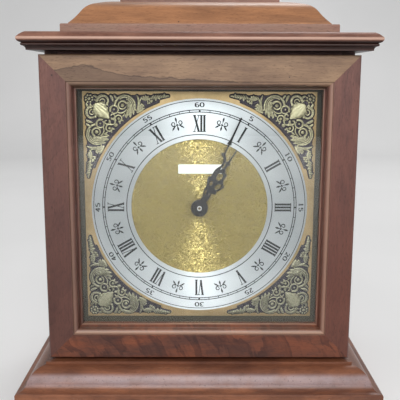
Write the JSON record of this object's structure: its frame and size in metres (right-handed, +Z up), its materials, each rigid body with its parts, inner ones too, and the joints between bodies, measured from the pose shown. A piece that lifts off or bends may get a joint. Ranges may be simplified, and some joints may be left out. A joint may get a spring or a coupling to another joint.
{
  "type": "bracket clock",
  "caption": "Bracket clock: moulded wooden case with a bell top, glazed hinged front door, brass dial with a silvered chapter ring, and a battery movement behind a back door.",
  "frame": {"origin": "on the table, under the middle of the base's outline", "axes": "+X to the viewer's right, +Y from the front to the back, +Z up; the dial faces -Y"},
  "size_m": [0.284, 0.17, 0.3384],
  "materials": {
    "walnut": "satin lacquered walnut with a red-brown stain",
    "plywood": "board painted dark olive on the front",
    "softwood": "plain sawn softwood",
    "dial_brass": "satin brass, matted and gilt inside the chapter ring",
    "antique_brass": "cast and polished high, dark in the recesses",
    "silvered": "circular brushed silvering",
    "hand_black": "satin black",
    "steel": "plain",
    "brass": "polished and lacquered",
    "black_plastic": "fine texture",
    "white_plastic": "natural acetal",
    "glass": "clear flat glass",
    "rubber": "black",
    "battery_jacket": "printed sleeve left plain",
    "circuit": "green laminate",
    "magnet_steel": "nickel plated",
    "glide_plastic": "hard smooth nylon"
  },
  "bodies": {
    "case": {"foot_glides": "glide_plastic", "base_moulding_front": "walnut", "base_moulding_left": "walnut", "base_moulding_right": "walnut", "base_board": "softwood", "base_rear_rail": "walnut", "case_hinge_leaves": "brass", "hinge_pins": "brass", "side_panel_left": "walnut", "side_panel_right": "walnut", "top_board": "softwood", "door_catches": "magnet_steel", "cornice_front": "walnut", "cornice_left": "walnut", "cornice_right": "walnut", "cornice_board": "softwood", "caddy_plinth": "walnut", "bell_front": "walnut", "bell_left": "walnut", "bell_right": "walnut", "bell_back_board": "walnut", "top_slab": "walnut", "handle_posts": "brass", "dial_board": "plywood", "dial_plate": "dial_brass", "spandrel_screws": "steel", "chapter_ring": "silvered", "dial_cleats": "softwood", "spandrel_top_right": "antique_brass", "spandrel_bottom_right": "antique_brass", "spandrel_bottom_left": "antique_brass", "spandrel_top_left": "antique_brass", "movement_housing": "black_plastic", "movement_cover": "black_plastic", "circuit_board": "circuit", "battery_contacts": "steel", "mounting_nut": "brass", "rubber_washer": "rubber"},
    "front_door": {"door_rail_top": "walnut", "door_rail_bottom": "walnut", "door_stile_left": "walnut", "door_stile_right": "walnut", "door_glass": "glass", "glass_beads": "walnut", "door_hinge_leaves": "brass", "door_strike": "magnet_steel"},
    "rear_door": {"back_door": "walnut", "back_knob": "brass", "back_strike": "magnet_steel", "back_hinge_leaves": "brass"},
    "carrying_handle": {"handle_bail": "brass"},
    "battery_cell": {"battery": "battery_jacket"},
    "minute_works": {"minute_arbor": "brass", "minute_hand": "hand_black", "hand_nut": "steel"},
    "hour_works": {"hour_wheel": "white_plastic", "hour_hand": "hand_black"},
    "motion_wheel": {"minute_wheel": "white_plastic"},
    "setting_knob": {"set_knob": "black_plastic"}
  },
  "joints": [
    {"name": "front_door_hinge", "type": "hinge", "parent": "case", "child": "front_door", "pos_m": [0.1207, -0.0415, 0.15625], "axis": [0, 0, 1], "range_deg": [0, 115]},
    {"name": "rear_door_hinge", "type": "hinge", "parent": "case", "child": "rear_door", "pos_m": [0.1077, 0.0823, 0.15625], "axis": [0, 0, -1], "range_deg": [0, 110]},
    {"name": "handle_swing", "type": "hinge", "parent": "case", "child": "carrying_handle", "pos_m": [0, 0.0367, 0.334], "axis": [1, 0, 0], "range_deg": [0, 190]},
    {"name": "battery_slide", "type": "slide", "parent": "case", "child": "battery_cell", "axis": [0, 1, 0], "range_m": [0, 0.02]},
    {"name": "minute_spin", "type": "hinge", "parent": "case", "child": "minute_works", "pos_m": [0, -0.04, 0.15625], "axis": [0, 1, 0], "continuous": true},
    {"name": "hour_spin", "type": "hinge", "parent": "case", "child": "hour_works", "pos_m": [0, -0.04, 0.15625], "axis": [0, 1, 0], "continuous": true},
    {"name": "motion_wheel_spin", "type": "hinge", "parent": "case", "child": "motion_wheel", "pos_m": [-0.00566, -0.0264, 0.16191], "axis": [0, 1, 0], "continuous": true},
    {"name": "setting_knob_spin", "type": "hinge", "parent": "case", "child": "setting_knob", "pos_m": [-0.00566, -0.0264, 0.17031], "axis": [0, 1, 0], "continuous": true}
  ],
  "couplings": [
    {"joint": "motion_wheel_spin", "follows": "minute_spin", "ratio": -0.33333},
    {"joint": "hour_spin", "follows": "minute_spin", "ratio": 0.083333},
    {"joint": "setting_knob_spin", "follows": "minute_spin", "ratio": 0.83333}
  ]
}
